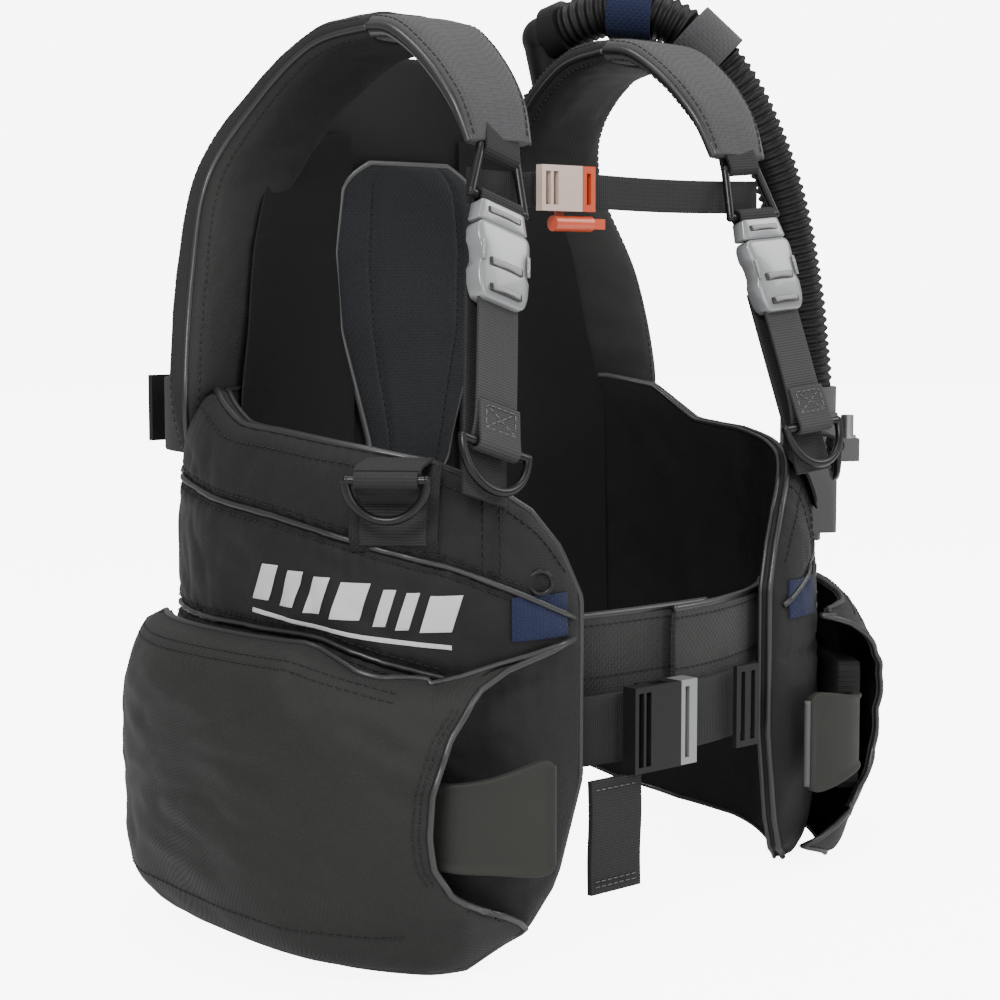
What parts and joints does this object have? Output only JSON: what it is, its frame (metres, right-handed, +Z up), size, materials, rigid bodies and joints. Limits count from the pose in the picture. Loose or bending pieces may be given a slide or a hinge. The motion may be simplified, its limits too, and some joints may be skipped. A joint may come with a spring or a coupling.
{
  "type": "buoyancy compensator vest",
  "caption": "Jacket-style diving buoyancy vest with wrap-round bladder, padded back, cinch shoulder straps, pull-out weight pouches, tank band and oral inflator hose.",
  "frame": {"origin": "on the axis of the air cylinder, halfway up the tank band", "axes": "+Z up along the air cylinder, the wearer stands on the -Y side and faces -Y, +X towards the wearer's left"},
  "size_m": [0.5389, 0.5261, 0.5756],
  "materials": {
    "plate_plastic": "moulded, satin",
    "back_cushion": "brushed foam laminate",
    "black_nylon": "coated woven nylon",
    "bladder_nylon": "coated woven nylon",
    "pocket_nylon": "coated woven nylon",
    "pouch_fabric": "heavy woven nylon",
    "handle_rubber": "moulded, matt",
    "strap_fabric": "mottled knit over foam",
    "dark_metal": "black coated steel",
    "silver_plastic": "silver moulded",
    "webbing": "ribbed woven webbing",
    "cream_plastic": "moulded",
    "red_plastic": "moulded",
    "cummerbund_fabric": "brushed loop fabric",
    "hose_rubber": "corrugated, matt",
    "blue_band": "woven band",
    "grey_plastic": "moulded",
    "button_plastic": "moulded",
    "nipple_steel": "polished"
  },
  "bodies": {
    "vest": {"backplate": "plate_plastic", "carry_handle": "handle_rubber", "back_pad": "back_cushion", "back_panel": "black_nylon", "wing_left": "bladder_nylon", "wing_right": "bladder_nylon", "lobe_left": "black_nylon", "lobe_right": "black_nylon", "pocket_left": "pocket_nylon", "pocket_right": "pocket_nylon", "shoulder_pad_left": "strap_fabric", "shoulder_pad_right": "strap_fabric", "strap_ring_left": "dark_metal", "strap_ring_right": "dark_metal", "buckle_insert_left": "silver_plastic", "buckle_insert_right": "silver_plastic", "load_webbing_left": "webbing", "load_webbing_right": "webbing", "dring_tabs": "webbing", "sternum_web_left": "webbing", "sternum_web_right": "webbing", "sternum_socket": "cream_plastic", "whistle": "red_plastic", "cummerbund_left": "cummerbund_fabric", "cummerbund_right": "cummerbund_fabric", "belt_left": "webbing", "belt_right": "webbing", "waist_socket": "plate_plastic", "belt_tail": "webbing", "tri_glide": "plate_plastic", "tank_band": "webbing", "cam_frame": "plate_plastic", "hose_elbow": "plate_plastic", "inflator_hose": "hose_rubber", "hose_keeper": "blue_band", "hose_wrap": "strap_fabric", "hose_collar": "grey_plastic", "inflator_body": "grey_plastic", "mouthpiece": "hose_rubber", "lp_nipple": "nipple_steel", "dump_valve_base": "plate_plastic", "dump_valve_cap": "plate_plastic"},
    "shoulder_socket_left": {"buckle_socket_left": "silver_plastic", "tail_webbing_left": "webbing"},
    "chest_ring_left": {"chest_dring_left": "dark_metal"},
    "pocket_ring_left": {"pocket_dring_left": "dark_metal"},
    "pouch_left": {"weight_pouch_left": "pouch_fabric", "pouch_handle_left": "handle_rubber"},
    "shoulder_socket_right": {"buckle_socket_right": "silver_plastic", "tail_webbing_right": "webbing"},
    "chest_ring_right": {"chest_dring_right": "dark_metal"},
    "pocket_ring_right": {"pocket_dring_right": "dark_metal"},
    "pouch_right": {"weight_pouch_right": "pouch_fabric", "pouch_handle_right": "handle_rubber"},
    "chest_plug": {"sternum_plug": "red_plastic"},
    "belt_plug": {"waist_plug": "silver_plastic"},
    "cam": {"cam_lever": "plate_plastic"},
    "inflate": {"inflate_button": "button_plastic"},
    "deflate": {"deflate_button": "button_plastic"},
    "dump": {"dump_pull": "plate_plastic"}
  },
  "joints": [
    {"name": "shoulder_buckle_left", "type": "slide", "parent": "vest", "child": "shoulder_socket_left", "axis": [0.0787, -0.2927, -0.953], "range_m": [0, 0.03]},
    {"name": "chest_ring_swing_left", "type": "hinge", "parent": "shoulder_socket_left", "child": "chest_ring_left", "pos_m": [0.11363, -0.37373, 0.00297], "axis": [0.9966, 0, 0.0823], "range_deg": [-70, 0]},
    {"name": "pocket_ring_swing_left", "type": "hinge", "parent": "vest", "child": "pocket_ring_left", "pos_m": [0.18269, -0.33559, -0.014], "axis": [0.703, 0.7112, 0], "range_deg": [-80, 0]},
    {"name": "pouch_slide_left", "type": "slide", "parent": "vest", "child": "pouch_left", "axis": [-0.5954, -0.8034, 0], "range_m": [0, 0.11]},
    {"name": "shoulder_buckle_right", "type": "slide", "parent": "vest", "child": "shoulder_socket_right", "axis": [-0.2888, -0.3019, -0.9085], "range_m": [0, 0.03]},
    {"name": "chest_ring_swing_right", "type": "hinge", "parent": "shoulder_socket_right", "child": "chest_ring_right", "pos_m": [-0.15286, -0.37829, 0.00173], "axis": [0.953, 0, -0.303], "range_deg": [-70, 0]},
    {"name": "pocket_ring_swing_right", "type": "hinge", "parent": "vest", "child": "pocket_ring_right", "pos_m": [-0.2095, -0.35507, -0.014], "axis": [0.6847, -0.7289, 0], "range_deg": [-80, 0]},
    {"name": "pouch_slide_right", "type": "slide", "parent": "vest", "child": "pouch_right", "axis": [0.5332, -0.846, 0], "range_m": [0, 0.11]},
    {"name": "chest_buckle", "type": "slide", "parent": "vest", "child": "chest_plug", "axis": [1, 0, 0], "range_m": [0, 0.02]},
    {"name": "waist_buckle", "type": "slide", "parent": "vest", "child": "belt_plug", "axis": [1, 0, 0], "range_m": [0, 0.025]},
    {"name": "cam_lever_hinge", "type": "hinge", "parent": "vest", "child": "cam", "pos_m": [0.014, 0.1081, 0], "axis": [0, 0, -1], "range_deg": [0, 120]},
    {"name": "inflate_press", "type": "slide", "parent": "vest", "child": "inflate", "axis": [0.5, 0.866, 0], "range_m": [0, 0.003], "stiffness_N_per_m": 900},
    {"name": "deflate_press", "type": "slide", "parent": "vest", "child": "deflate", "axis": [0, 0, 1], "range_m": [0, 0.004], "stiffness_N_per_m": 900},
    {"name": "dump_pull_slide", "type": "slide", "parent": "vest", "child": "dump", "axis": [-0.5648, 0.8252, 0], "range_m": [0, 0.003], "stiffness_N_per_m": 900}
  ]
}
